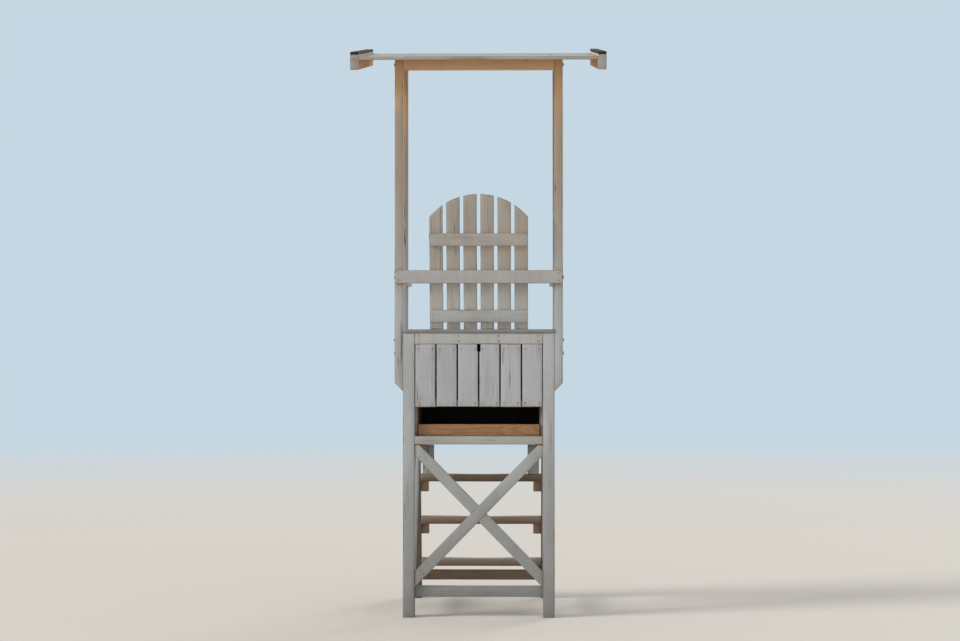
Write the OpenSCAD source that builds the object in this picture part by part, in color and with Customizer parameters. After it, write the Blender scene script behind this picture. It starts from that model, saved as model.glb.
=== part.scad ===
// Lifeguard chair tower of white-painted timber: an open frame on four legs, with a storage
// box under the seat, a reclined slatted back, a ladder in front and a flat roof on posts.
// The rear faces -Y and the ladder faces +Y. Left and right are as seen from behind.
// The origin is on the ground, in the middle of the space that the tower takes up.

/* [Legs] */
// Width over the outer faces of the legs
base_w = 910; // [820:5:1040]
// Width of a leg across the tower
leg_w = 70; // [58:1:82]
// Depth of a leg, front to back
leg_d = 90; // [74:1:106]
// Depth over the legs, front to back, just under the seat
seat_d = 625; // [600:5:740]
// Height of the seat's surface
seat_h = 1728; // [1650:2:1850]
// Rake of the front legs
leg_rake = 14; // [11:0.5:16]

/* [Rails and braces] */
// Height of the bottom rails' undersides
bottom_rail_z = 122; // [90:1:160]
// Height of a bottom rail
rail_h = 65; // [50:1:80]
// Thickness of the rails between the legs
rail_t = 35; // [28:1:42]
// Width of a brace board
brace_w = 67; // [50:1:80]
// Thickness of a brace board
brace_t = 22; // [16:1:28]
// Distance from the rear faces of the legs in to the rear braces
brace_inset = 5; // [0:1:12]
// Height from the bottom rail up to the middle of a brace's foot
brace_foot = 41; // [20:1:80]
// Height from the middle of a brace's head up to the rail above it
brace_head = 20; // [10:1:60]

/* [Storage box] */
// Height of the box floor, which is the footrest's height too
floor_z = 1087; // [1040:1:1140]
// Thickness of the boards of the box, the floor and the footrest
board_t = 20; // [15:1:25]
// Gap between two boards of the box
board_gap = 8; // [2:0.5:10]
// Gap between two boards of the front wall, which are butted to keep out the spray
front_gap = 1; // [0.5:0.5:5]
// Height of the rear middle rail
mid_rail_h = 50; // [40:1:60]
// Thickness of the middle rail and of the rails behind the rear boards
back_rail_t = 28; // [22:1:36]
// Height of a floor bearer
bearer_h = 67; // [50:1:80]
// Thickness of a floor bearer
bearer_t = 40; // [32:1:50]
// Height of the unpainted lip board at the back of the floor
lip_h = 70; // [50:1:90]
// Thickness of the lip board
lip_t = 22; // [16:1:30]
// Height of the open slot over the lip board
slot_h = 106; // [80:1:140]
// Height of the batten inside, along the foot of the rear boards
batten_h = 45; // [35:1:60]
// Height of the top rail of the rear wall
top_rail_h = 67; // [50:1:80]
// Width of the notch sawn into the tops of the two middle rear boards
notch_w = 22; // [12:1:30]
// Height of the notch
notch_h = 45; // [30:1:60]

/* [Seat] */
// Thickness of the seat slats
seat_slat_t = 22; // [18:1:28]
// Gap between two seat slats
seat_gap = 8; // [4:1:12]
// How far the first seat slat stands out over the rear legs
seat_overhang = 6; // [0:1:12]
// How far the seat stands out over the front legs
seat_nosing = 10; // [0:1:25]
// Radius along the front edge of the seat, where the knees bend
seat_round = 8; // [3:0.5:8.5]
// Height of a seat rail
seat_rail_h = 70; // [55:1:85]

/* [Back] */
// Width of a back slat
back_slat_w = 81; // [70:1:90]
// Gap between two back slats
back_gap = 21; // [12:1:28]
// Thickness of the back slats
back_slat_t = 20; // [16:1:25]
// Lean of the back from upright
back_lean = 12; // [8:0.5:14]
// Height of the back over the seat
back_h = 804; // [730:2:880]
// Radius of the arched top of the back
back_arch_r = 385; // [360:1:480]
// Height of a back batten
back_batten_h = 76; // [60:1:90]
// Thickness of a back batten
back_batten_t = 20; // [15:1:25]
// Height of the lower batten's middle over the seat
low_batten_z = 82; // [60:1:120]
// Height of the upper batten's middle over the seat
high_batten_z = 538; // [500:1:580]

/* [Posts and guard rails] */
// Width of a roof post across the tower
post_w = 50; // [42:1:60]
// Depth of a roof post, front to back
post_d = 90; // [70:1:100]
// Distance from the front of the front legs back to the front posts
post_setback = 10; // [0:1:20]
// Height of the posts' lower ends
post_foot_z = 1355; // [1320:1:1450]
// Height of the slanting cut on a post's lower end
post_foot_cut = 50; // [30:1:90]
// Height of the guard rails' undersides over the seat
guard_z = 275; // [230:1:320]
// Height of a guard rail
guard_h = 79; // [60:1:90]
// Thickness of a guard rail
guard_t = 22; // [16:1:28]

/* [Roof] */
// Width of the roof
roof_w = 1520; // [1400:10:1700]
// Length of the roof along its slope
roof_len = 1265; // [1180:5:1400]
// How far the roof reaches behind the posts, along its slope
roof_back = 180; // [120:5:240]
// Slope of the roof, which rises to the front
roof_slope = 9.3; // [4:0.1:12]
// Height of the roof's underside at the rear of the posts
roof_z = 3352; // [3200:2:3600]
// Thickness of the roof boards
roof_board_t = 20; // [15:1:28]
// Gap between two roof boards
roof_gap = 4; // [2:0.5:8]
// Width of a side beam
beam_w = 50; // [40:1:60]
// Height of a side beam
beam_h = 90; // [75:1:110]
// How far a side beam stands over the roof boards
beam_rise = 12; // [8:1:30]
// Thickness of the black strip on a side beam
strip_t = 16; // [8:1:22]
// Height of a header between the posts
header_h = 62; // [50:1:80]
// Thickness of a header
header_t = 45; // [35:1:55]
// Width of a roof bearer
roof_bearer_w = 45; // [35:1:55]
// Distance from the roof's front edge back to the bearers' ends
bearer_setback = 25; // [10:1:60]

/* [Ladder] */
// Height of the lowest tread's surface
first_tread_z = 260; // [245:1:300]
// Thickness of a tread
tread_t = 45; // [35:1:50]
// Depth of a tread, front to back
tread_d = 120; // [105:1:140]
// Chamfer along the edges of a tread
tread_chamfer = 6; // [2:1:10]
// Width of a cleat under a tread
cleat_w = 50; // [40:1:60]
// Height of a cleat
cleat_h = 68; // [50:1:80]
// Clearance between a cleat and the bottom rail behind it
cleat_gap = 3; // [2:0.5:5]
// Width of an upright under the footrest
upright_w = 72; // [60:1:85]
// Thickness of an upright
upright_t = 28; // [20:1:34]
// Distance from the legs in to an upright
upright_inset = 15; // [8:1:20]
// Distance from a tread's rear edge in to an upright
upright_edge = 5; // [2:1:12]
// How far the footrest stands out over the front legs
footrest_nosing = 30; // [10:1:45]

/* [Hidden] */

// How many boards and slats the pieces are made of
rear_board_n = 6;
side_board_n = 4;
floor_board_n = 5;
footrest_board_n = 2;
seat_slat_n = 6;
back_slat_n = 6;
roof_board_n = 9;
tread_n = 3;

// Colours as the photograph shows them
paint = [0.80, 0.79, 0.76];
bare_wood = [0.62, 0.46, 0.32];
tread_wood = [0.48, 0.40, 0.33];
rubber = [0.06, 0.06, 0.065];
// Facets of the arch that tops the back and of the seat's rounded edge
$fn = 96;

// Faces that others seat on
half_w = base_w / 2;
inner_x = half_w - leg_w;
leg_run = tan(leg_rake);
leg_depth = leg_d / cos(leg_rake);
frame_top = seat_h - seat_slat_t;
top_rail_z = frame_top - top_rail_h;
bottom_rail_top = bottom_rail_z + rail_h;
rear_rail_y = brace_inset + brace_t;
mid_rail_z = floor_z - mid_rail_h;
bearer_top = floor_z - board_t;
bearer_z = bearer_top - bearer_h;
lip_top = floor_z + lip_h;
rear_board_z = lip_top + slot_h;
rear_board_x = inner_x - board_gap / 2;
inner_rail_y = board_t + back_rail_t;
box_front_y = seat_d - leg_depth;
box_side_x = inner_x - board_t;
seat_rail_z = frame_top - seat_rail_h;
guard_bottom = seat_h + guard_z;
guard_top = guard_bottom + guard_h;
front_post_y = seat_d - post_setback - post_d;
beam_top = roof_board_t + beam_rise;
roof_front = roof_len - roof_back;
beam_x = roof_w / 2 - beam_w;
back_w = back_slat_n * back_slat_w + (back_slat_n - 1) * back_gap;
tread_rise = (floor_z - first_tread_z) / tread_n;

// Front and rear face of the raked legs at height z
function leg_front(z) = seat_d + (frame_top - z) * leg_run;
function leg_rear(z) = leg_front(z) - leg_depth;
// Height of the roof's underside at depth y
function roof_under(y) = roof_z + y * tan(roof_slope);
// Side-view point at a distance u up the slope and w above the underside
function roof_point(u, w) = [
    u * cos(roof_slope) - w * sin(roof_slope),
    roof_z + u * sin(roof_slope) + w * cos(roof_slope)
];
// Height of a tread's surface, counted from the ground up
function tread_z(i) = first_tread_z + (i - 1) * tread_rise;
// Rear edge of a tread, which lies centred on the legs
function tread_y(i) = leg_front(tread_z(i) - tread_t / 2) - (leg_depth + tread_d) / 2;
// Start and width of board i out of n that share the length from a to b with gaps between
function share_w(a, b, n, gap) = (b - a - (n - 1) * gap) / n;
function share_at(a, b, n, gap, i) = a + i * (share_w(a, b, n, gap) + gap);

// The space that the tower takes up, front to back, and its middle
rear_end = roof_point(-roof_back, beam_top + strip_t)[0];
front_end = max(leg_front(0), roof_point(roof_front, beam_top - beam_h)[0]);
middle_y = (rear_end + front_end) / 2;

// A straight timber between two places on each axis
module timber(x, y, z) {
    translate([x[0], y[0], z[0]]) cube([x[1] - x[0], y[1] - y[0], z[1] - z[0]]);
}

// A side-view outline in y and z, carried across the tower from x0 to x1
module across(x0, x1) {
    translate([x0, 0, 0]) rotate([90, 0, 90]) linear_extrude(x1 - x0) children();
}

// A rear-view outline in x and z, carried forward from y0 to y1
module forward(y0, y1) {
    translate([0, y1, 0]) rotate([90, 0, 0]) linear_extrude(y1 - y0) children();
}

// The same piece on the left side
module left() {
    mirror([1, 0, 0]) children();
}

// A piece and its mirror image
module both() {
    children();
    left() children();
}

// Puts a piece from the rear face of the legs into the tower's own frame
module place(c) {
    color(c) translate([0, -middle_y, 0]) children();
}

// Straight board of a brace between two points, as an outline longer than it needs to be
module brace_band(a, b, w) {
    run = b - a;
    reach = norm(run) + 4 * w;
    translate((a + b) / 2) rotate(atan2(run[1], run[0])) square([reach, w], center = true);
}

// Legs
module rear_leg() {
    timber([inner_x, half_w], [0, leg_d], [0, frame_top]);
}

module front_leg() {
    across(inner_x, half_w) polygon([
        [leg_rear(0), 0], [leg_front(0), 0],
        [leg_front(frame_top), frame_top], [leg_rear(frame_top), frame_top]
    ]);
}

module rear_leg_left() { place(paint) left() rear_leg(); }
module rear_leg_right() { place(paint) rear_leg(); }
module front_leg_left() { place(paint) left() front_leg(); }
module front_leg_right() { place(paint) front_leg(); }

// Bottom rails, let in between the legs. Feet have worn the paint off the front one
module rear_bottom_rail() {
    place(paint) timber([-inner_x, inner_x], [rear_rail_y, rear_rail_y + rail_t],
        [bottom_rail_z, bottom_rail_top]);
}

module front_bottom_rail() {
    place(tread_wood) across(-inner_x, inner_x) polygon([
        [leg_rear(bottom_rail_z), bottom_rail_z],
        [leg_rear(bottom_rail_z) + rail_t, bottom_rail_z],
        [leg_rear(bottom_rail_top) + rail_t, bottom_rail_top],
        [leg_rear(bottom_rail_top), bottom_rail_top]
    ]);
}

module side_bottom_rails() {
    x = inner_x + (leg_w - rail_t) / 2;
    place(paint) both() across(x, x + rail_t) polygon([
        [leg_d, bottom_rail_z], [leg_rear(bottom_rail_z), bottom_rail_z],
        [leg_rear(bottom_rail_top), bottom_rail_top], [leg_d, bottom_rail_top]
    ]);
}

// Rear cross-brace: two boards halved over each other where they cross
brace_low = bottom_rail_top + brace_foot;
brace_high = mid_rail_z - brace_head;

module rear_brace_outline(w) {
    intersection() {
        translate([-inner_x, bottom_rail_z]) square([2 * inner_x, mid_rail_z - bottom_rail_z]);
        brace_band([-inner_x, brace_low], [inner_x, brace_high], w);
    }
}

module rear_brace_rising() {
    place(paint) difference() {
        forward(brace_inset, brace_inset + brace_t) rear_brace_outline(brace_w);
        forward(brace_inset + brace_t / 2, brace_inset + brace_t + 1)
            mirror([1, 0]) rear_brace_outline(brace_w);
    }
}

module rear_brace_falling() {
    place(paint) difference() {
        forward(brace_inset, brace_inset + brace_t) mirror([1, 0]) rear_brace_outline(brace_w);
        forward(brace_inset - 1, brace_inset + brace_t / 2) rear_brace_outline(brace_w);
    }
}

// Side braces: one board a side, from the rear foot up to the front leg
module side_braces() {
    place(paint) both() across(inner_x, inner_x + brace_t) intersection() {
        polygon([
            [leg_d, bottom_rail_top], [leg_rear(bottom_rail_top), bottom_rail_top],
            [leg_rear(frame_top), frame_top], [leg_d, frame_top]
        ]);
        brace_band([leg_d, brace_low], [leg_rear(brace_high), brace_high], brace_w);
    }
}

// Floor of the storage box, on two bearers that run on to carry the footrest
module rear_middle_rail() {
    place(paint) timber([-inner_x, inner_x], [0, back_rail_t], [mid_rail_z, floor_z]);
}

module floor_bearers() {
    place(bare_wood) both() across(inner_x - bearer_t, inner_x) polygon([
        [back_rail_t, bearer_z], [leg_front(bearer_z), bearer_z],
        [leg_front(bearer_top), bearer_top], [back_rail_t, bearer_top]
    ]);
}

module box_floor() {
    place(bare_wood) for (i = [0 : floor_board_n - 1]) {
        y = share_at(back_rail_t, box_front_y, floor_board_n, board_gap, i);
        w = share_w(back_rail_t, box_front_y, floor_board_n, board_gap);
        timber([-box_side_x, box_side_x], [y, y + w], [bearer_top, floor_z]);
    }
}

module box_lip_board() {
    place(bare_wood)
        timber([-box_side_x, box_side_x], [back_rail_t, back_rail_t + lip_t], [floor_z, lip_top]);
}

// Walls of the storage box. The rear boards and the top rail lie flush between the legs
module box_rear_boards() {
    place(paint) difference() {
        for (i = [0 : rear_board_n - 1]) {
            x = share_at(-rear_board_x, rear_board_x, rear_board_n, board_gap, i);
            w = share_w(-rear_board_x, rear_board_x, rear_board_n, board_gap);
            timber([x, x + w], [0, board_t], [rear_board_z, top_rail_z]);
        }
        timber([-notch_w / 2, notch_w / 2], [-1, board_t + 1], [top_rail_z - notch_h, top_rail_z + 1]);
    }
}

module box_rear_rails() {
    place(paint) for (z = [[rear_board_z, rear_board_z + batten_h], [top_rail_z, frame_top]])
        timber([-inner_x, inner_x], [board_t, inner_rail_y], z);
}

module box_top_rail() {
    place(paint) timber([-inner_x, inner_x], [0, board_t], [top_rail_z, frame_top]);
}

module box_side_boards() {
    front = box_front_y - board_t;
    for (i = [0 : side_board_n - 1]) {
        y = share_at(inner_rail_y, front, side_board_n, board_gap, i);
        w = share_w(inner_rail_y, front, side_board_n, board_gap);
        timber([box_side_x, inner_x], [y, y + w], [bearer_top, frame_top]);
    }
}

module box_left_boards() { place(paint) left() box_side_boards(); }
module box_right_boards() { place(paint) box_side_boards(); }

module box_front_boards() {
    place(paint) for (i = [0 : rear_board_n - 1]) {
        x = share_at(-inner_x, inner_x, rear_board_n, front_gap, i);
        w = share_w(-inner_x, inner_x, rear_board_n, front_gap);
        timber([x, x + w], [box_front_y - board_t, box_front_y], [floor_z, frame_top]);
    }
}

// Seat
module side_seat_rails() {
    place(paint) both() across(inner_x, inner_x + rail_t) polygon([
        [leg_d, seat_rail_z], [leg_rear(seat_rail_z), seat_rail_z],
        [leg_rear(frame_top), frame_top], [leg_d, frame_top]
    ]);
}

module front_seat_rail() {
    place(paint) timber([-inner_x, inner_x], [box_front_y, box_front_y + rail_t],
        [seat_rail_z, frame_top]);
}

// The first slat lies on the rear legs and the top rail. The last is rounded in front
module seat_slats() {
    front = seat_d + seat_nosing;
    w = share_w(-seat_overhang, front, seat_slat_n, seat_gap);
    place(paint) for (i = [0 : seat_slat_n - 2]) {
        y = share_at(-seat_overhang, front, seat_slat_n, seat_gap, i);
        timber([-half_w, half_w], [y, y + w], [frame_top, seat_h]);
    }
    place(paint) across(-half_w, half_w) union() {
        translate([front - w, frame_top]) square([w - seat_round, seat_slat_t]);
        translate([front - w, frame_top + seat_round]) square([w, seat_slat_t - 2 * seat_round]);
        for (z = [frame_top + seat_round, seat_h - seat_round])
            translate([front - seat_round, z]) circle(seat_round);
    }
}

// Back: its rear face leans on the top edge of the rear guard rail
module lean() {
    translate([0, 0, guard_top]) rotate([back_lean, 0, 0]) children();
}

// Distance up the leaning back for a height over the seat
function up_back(z) = (seat_h + z - guard_top) / cos(back_lean);

module back_slats() {
    top = up_back(back_h);
    low = up_back(-back_slat_w);
    place(paint) intersection() {
        lean() forward(0, back_slat_t) intersection() {
            for (i = [0 : back_slat_n - 1])
                translate([i * (back_slat_w + back_gap) - back_w / 2, low])
                    square([back_slat_w, top - low]);
            union() {
                translate([0, top - back_arch_r]) circle(back_arch_r);
                translate([-back_w, low]) square([2 * back_w, top - back_arch_r - low]);
            }
        }
        timber([-back_w, back_w], [-back_h, back_h], [seat_h, seat_h + 2 * back_h]);
    }
}

module back_batten(z) {
    middle = up_back(z);
    place(paint) lean() timber([-back_w / 2, back_w / 2], [-back_batten_t, 0],
        [middle - back_batten_h / 2, middle + back_batten_h / 2]);
}

module back_lower_batten() { back_batten(low_batten_z); }
module back_upper_batten() { back_batten(high_batten_z); }

// Guard rails, which are the arms of the seat too
module rear_guard_rail() {
    reach = half_w + post_w;
    place(paint) timber([-reach, reach], [-guard_t, 0], [guard_bottom, guard_top]);
}

module side_guard_rails() {
    place(paint) both() timber([half_w - guard_t, half_w], [0, front_post_y + post_d],
        [guard_bottom, guard_top]);
}

// Roof posts on the outer faces of the legs, with a slanting cut at the foot
module post(y) {
    outer = half_w + post_w;
    top = roof_under(y + post_d);
    intersection() {
        forward(y, y + post_d) polygon([
            [half_w, post_foot_z], [outer, post_foot_z + post_foot_cut], [outer, top], [half_w, top]
        ]);
        across(half_w, outer) polygon([
            [y, post_foot_z], [y + post_d, post_foot_z], [y + post_d, top], [y, roof_under(y)]
        ]);
    }
}

module rear_post_left() { place(paint) left() post(0); }
module rear_post_right() { place(paint) post(0); }
module front_post_left() { place(paint) left() post(front_post_y); }
module front_post_right() { place(paint) post(front_post_y); }

// Headers and bearers under the roof, left bare
module header(y, reach) {
    low = roof_under(y) - header_h;
    place(bare_wood) across(-reach, reach) polygon([
        [y, low], [y + header_t, low],
        [y + header_t, roof_under(y + header_t)], [y, roof_under(y)]
    ]);
}

module rear_header() { header(0, half_w); }
module front_header() { header(front_post_y + post_d - header_t, half_w - roof_bearer_w); }

module roof_bearers() {
    end = roof_front - bearer_setback;
    drop = header_h / cos(roof_slope);
    place(bare_wood) both() across(half_w - roof_bearer_w, half_w) polygon([
        [header_t, roof_under(header_t) - drop], roof_point(end, -header_h),
        roof_point(end, 0), [header_t, roof_under(header_t)]
    ]);
}

// Roof: boards across, held at their ends by two side beams
module on_slope() {
    translate([0, 0, roof_z]) rotate([roof_slope, 0, 0]) children();
}

module roof_boards() {
    place(paint) on_slope() for (i = [0 : roof_board_n - 1]) {
        u = share_at(-roof_back, roof_front, roof_board_n, roof_gap, i);
        w = share_w(-roof_back, roof_front, roof_board_n, roof_gap);
        timber([-beam_x, beam_x], [u, u + w], [0, roof_board_t]);
    }
}

module roof_beam() {
    on_slope() timber([beam_x, beam_x + beam_w], [-roof_back, roof_front],
        [beam_top - beam_h, beam_top]);
}

module roof_beam_left() { place(paint) left() roof_beam(); }
module roof_beam_right() { place(paint) roof_beam(); }

module roof_edge_strips() {
    place(rubber) both() on_slope() timber([beam_x, beam_x + beam_w], [-roof_back, roof_front],
        [beam_top, beam_top + strip_t]);
}

// Ladder: treads between the front legs, each on a pair of cleats
module tread(i) {
    y = tread_y(i);
    z = tread_z(i);
    c = tread_chamfer;
    place(tread_wood) across(-inner_x, inner_x) polygon([
        [y + c, z - tread_t], [y + tread_d - c, z - tread_t], [y + tread_d, z - tread_t + c],
        [y + tread_d, z - c], [y + tread_d - c, z], [y + c, z], [y, z - c], [y, z - tread_t + c]
    ]);
}

module tread_1() { tread(1); }
module tread_2() { tread(2); }
module tread_3() { tread(3); }

module tread_cleats() {
    behind = rail_t + cleat_gap;
    place(tread_wood) both() for (i = [1 : tread_n]) {
        top = tread_z(i) - tread_t;
        low = top - cleat_h;
        across(inner_x - cleat_w, inner_x) polygon([
            [leg_rear(low) + behind, low], [leg_front(low), low],
            [leg_front(top), top], [leg_rear(top) + behind, top]
        ]);
    }
}

// Uprights that stand on the top tread and carry the front ends of the floor bearers
module footrest_uprights() {
    x = inner_x - upright_inset;
    y = tread_y(tread_n) + upright_edge;
    place(paint) both()
        timber([x - upright_w, x], [y, y + upright_t], [tread_z(tread_n), bearer_z]);
}

module footrest() {
    front = leg_front(floor_z) + footrest_nosing;
    place(tread_wood) for (i = [0 : footrest_board_n - 1]) {
        y = share_at(box_front_y, front, footrest_board_n, board_gap, i);
        w = share_w(box_front_y, front, footrest_board_n, board_gap);
        timber([-inner_x, inner_x], [y, y + w], [bearer_top, floor_z]);
    }
}

rear_leg_left();
rear_leg_right();
front_leg_left();
front_leg_right();
rear_bottom_rail();
front_bottom_rail();
side_bottom_rails();
rear_brace_rising();
rear_brace_falling();
side_braces();
rear_middle_rail();
floor_bearers();
box_floor();
box_lip_board();
box_rear_boards();
box_rear_rails();
box_top_rail();
box_left_boards();
box_right_boards();
box_front_boards();
side_seat_rails();
front_seat_rail();
seat_slats();
back_slats();
back_lower_batten();
back_upper_batten();
rear_guard_rail();
side_guard_rails();
rear_post_left();
rear_post_right();
front_post_left();
front_post_right();
rear_header();
front_header();
roof_bearers();
roof_boards();
roof_beam_left();
roof_beam_right();
roof_edge_strips();
tread_1();
tread_2();
tread_3();
tread_cleats();
footrest_uprights();
footrest();
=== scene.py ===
from math import cos, pi, radians, sin, tan

import bpy
import numpy as np
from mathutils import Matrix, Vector


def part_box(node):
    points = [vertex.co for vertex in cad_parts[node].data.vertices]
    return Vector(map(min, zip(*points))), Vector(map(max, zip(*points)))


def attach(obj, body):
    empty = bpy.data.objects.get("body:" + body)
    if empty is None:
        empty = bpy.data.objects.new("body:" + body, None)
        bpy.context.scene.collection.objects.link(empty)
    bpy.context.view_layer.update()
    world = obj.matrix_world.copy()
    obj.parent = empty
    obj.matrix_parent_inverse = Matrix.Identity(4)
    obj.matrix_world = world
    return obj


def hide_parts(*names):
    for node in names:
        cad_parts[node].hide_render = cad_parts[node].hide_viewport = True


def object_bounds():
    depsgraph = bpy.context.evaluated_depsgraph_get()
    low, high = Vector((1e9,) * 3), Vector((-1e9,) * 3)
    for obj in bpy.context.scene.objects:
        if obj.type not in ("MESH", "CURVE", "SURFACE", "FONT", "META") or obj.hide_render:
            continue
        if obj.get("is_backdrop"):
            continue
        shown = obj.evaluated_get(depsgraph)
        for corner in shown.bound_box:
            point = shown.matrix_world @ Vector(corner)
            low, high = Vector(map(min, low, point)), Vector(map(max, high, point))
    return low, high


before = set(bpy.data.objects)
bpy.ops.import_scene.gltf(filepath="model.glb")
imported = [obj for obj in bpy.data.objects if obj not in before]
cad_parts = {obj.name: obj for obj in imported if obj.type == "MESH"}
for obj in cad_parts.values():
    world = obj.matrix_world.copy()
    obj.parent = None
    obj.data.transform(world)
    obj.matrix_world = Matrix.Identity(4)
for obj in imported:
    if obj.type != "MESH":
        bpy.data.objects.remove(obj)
cad_low, cad_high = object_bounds()
scene = bpy.context.scene

# Camera
# It stands 12 m behind the tower at eye height and a hand's span to the right of its middle, where
# the photograph was taken from. A long lens lets the tower fill the frame from there.
eye_height = 1.596
stand_off = 12.0
side_step = 0.215
camera_lens = 75
rear_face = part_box("rear_leg_right")[0].y

camera = bpy.data.objects.new("camera", bpy.data.cameras.new("camera"))
scene.collection.objects.link(camera)
camera.data.lens = camera_lens
camera.data.clip_end = 300
camera.location = (side_step, rear_face - stand_off, eye_height)
aim = Vector((0, 0, cad_high.z / 2)) - camera.location
camera.rotation_euler = aim.to_track_quat("-Z", "Y").to_euler()
scene.camera = camera

# Legs
# Four sawn softwood posts, 70 by 90 mm. The rear pair stands upright, and the front pair leans
# back under the seat with its feet cut level. White oil paint, thinned by salt and sun until the
# timber shows in places along the edges, covers all but the undersides of the front pair. Those
# are dark brown, part bare timber and part painted shade.
draws = np.random.default_rng(7)
cut_reach = 0.18
cross_spacing = 0.024
line_gap = 0.004
ripple_height = 0.0003
ripple_length = 0.15
bite_depth = 0.002
bite_width = 0.007
bite_length = 0.11
bite_share = 0.6
sharp_angle = radians(50)
both_sides = (("left", -1), ("right", 1))


def closed_grid(lines):
    """Skin of a box-shaped grid. Three sets of lines cross at its points, those inside are dropped,
    and each of the six sides gives squares that face outwards."""
    shape = [len(line) for line in lines]
    steps = np.indices(shape).reshape(3, -1).T
    skin = ((steps == 0) | (steps == np.array(shape) - 1)).any(axis=1)
    number = np.full(shape, -1)
    number[tuple(steps[skin].T)] = np.arange(skin.sum())
    squares = []
    for axis in range(3):
        for end in (0, -1):
            side = np.moveaxis(number, axis, 0)[end]
            ring = np.stack([side[:-1, :-1], side[1:, :-1], side[1:, 1:], side[:-1, 1:]], -1)
            outward = (end == -1) != (axis == 1)
            squares.append(ring.reshape(-1, 4)[:, :: 1 if outward else -1])
    return steps[skin], np.concatenate(squares)


def grid_lines(half, spacing, ease, marks=()):
    """Places of a grid's lines from -half to half: three in each rounded edge, even ones between,
    and one at each mark."""
    flat = half - ease
    inner = np.linspace(-flat, flat, max(2, round(2 * flat / spacing) + 1))
    outer = half - ease * np.array([0, 0.4])
    return np.unique(np.round(np.concatenate([inner, outer, -outer, marks]), 5))


def waves(points, length):
    """Smooth uneven height at each point, from about -1 to 1: twice the mean of eight sine waves
    that run in random directions and repeat over about that length."""
    run = draws.normal(size=(8, 3)) * 2 * pi / length
    phase = draws.uniform(0, 2 * pi, 8)
    return 2 * np.sin(points @ run.T + phase).mean(axis=1)


def timber(middle, along, across, half, through=None):
    """A straight timber: its middle, its three directions (grain, width, thickness) and half its
    length, width and thickness. A given through makes a slanting section. Ends are square until
    cuts are added to low or high, and trims change the shape between them."""
    along = Vector(along).normalized()
    across = Vector(across)
    if not through:
        across = (across - across.dot(along) * along).normalized()
        through = along.cross(across)
    axes = (along, across, Vector(through))
    return {"middle": Vector(middle), "axes": axes, "half": half, "low": [], "high": [], "trims": [],
            "marks": [], "rows": [], "nail_gap": 0.03, "nail_face": 1, "ease": 0.003, "uneven": 1.0,
            "face": None}


def strut(foot, head, across, width, thickness):
    """A timber that runs from one point to another."""
    return timber((foot + head) / 2, head - foot, across,
                  [(head - foot).length / 2, width / 2, thickness / 2])


def block(low, high, grain):
    """A timber that fills the box between two corners, with its grain along axis 0, 1 or 2 and
    its width along the longer of the other two."""
    size = [high[k] - low[k] for k in range(3)]
    rest = sorted((k for k in range(3) if k != grain), key=lambda k: -size[k])
    unit = [Vector((1, 0, 0)), Vector((0, 1, 0)), Vector((0, 0, 1))]
    middle = (Vector(low) + Vector(high)) / 2
    return timber(middle, unit[grain], unit[rest[0]], [size[k] / 2 for k in (grain, *rest)])


def mark_face(piece, axis, sign, reach=0.0025):
    """Marks the face at one end of a timber's width, axis 1, or thickness, axis 2, so that its
    material can finish it in another way. The mark is gone 1.2 times the reach from the face."""
    half = piece["half"][axis]
    piece["face"] = lambda *spot: np.clip(1.2 - (half - sign * spot[axis]) / reach, 0, 1)
    return piece


def plane_cut(piece, point, normal):
    """A plane's cut across a timber: how far along the grain the plane lies, for each place across
    and through the timber."""
    along, across, through = piece["axes"]
    normal = Vector(normal)
    start = normal.dot(Vector(point) - piece["middle"])
    return lambda b, c: (start - b * normal.dot(across) - c * normal.dot(through)) / normal.dot(along)


def timber_surface(piece, spacing):
    """Skin of one timber. Points of a closed grid are pulled in to a rounded edge: each lies the
    edge's radius from the nearest point of the smaller block inside. Near the ends they are moved
    along the grain to meet the cuts. The faces then wander by a few tenths of a millimetre, and
    bites are taken from the edges where a slow wave is high."""
    half, ease = np.array(piece["half"]), piece["ease"]
    marks = [*piece["marks"], *piece["rows"], *(row + line_gap for row in piece["rows"])]
    lines = [grid_lines(half[0], spacing, ease, marks), grid_lines(half[1], cross_spacing, ease),
             grid_lines(half[2], cross_spacing, ease)]
    steps, squares = closed_grid(lines)
    spot = np.stack([line[steps[:, k]] for k, line in enumerate(lines)], -1)
    core = np.clip(spot, ease - half, half - ease)
    normal = spot - core
    normal /= np.linalg.norm(normal, axis=1, keepdims=True)
    spot = core + ease * normal
    a, b, c = spot.T
    low = np.max([cut(b, c) for cut in piece["low"]] or [np.full(len(b), -half[0])], axis=0)
    high = np.min([cut(b, c) for cut in piece["high"]] or [np.full(len(b), half[0])], axis=0)
    stretch = min(cut_reach, half[0])
    near_low = np.clip(1 - (a + half[0]) / stretch, 0, 1)
    near_high = np.clip(1 - (half[0] - a) / stretch, 0, 1)
    a = a + near_low * (low + half[0]) + near_high * (high - half[0])
    to_end = np.minimum(a - low, high - a)
    for trim in piece["trims"]:
        a, b, c = trim(a, b, c)
    spot = np.column_stack([a, b, c])
    gaps = np.sort(np.column_stack([to_end, half[1] - abs(b), half[2] - abs(c)]), axis=1)
    bite = np.clip(waves(spot, bite_length) - bite_share, 0, None) * np.exp(-gaps[:, 1] / bite_width)
    move = ripple_height * waves(spot, ripple_length) - bite_depth * bite
    spot += piece["uneven"] * normal * move[:, None]
    reach = np.column_stack([to_end + abs(a), np.full((len(a), 2), half[1:])])
    return spot, squares, reach


def nail_marks(piece, spot):
    """What the rust follows: distance along the grain to the nearest row of nails, distance below
    the next row up, and how far the nails lie from the middle, negative for the other face."""
    rows = np.array(piece["rows"])
    gap = piece["nail_gap"] * piece["nail_face"]
    if not len(rows):
        return np.tile([1.0, 1.0, gap], (len(spot), 1))
    above = rows - spot[:, :1]
    below = np.where(above < -0.001, 1.0, above).min(axis=1)
    return np.column_stack([abs(above).min(axis=1), below, np.full(len(spot), gap)])


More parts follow.
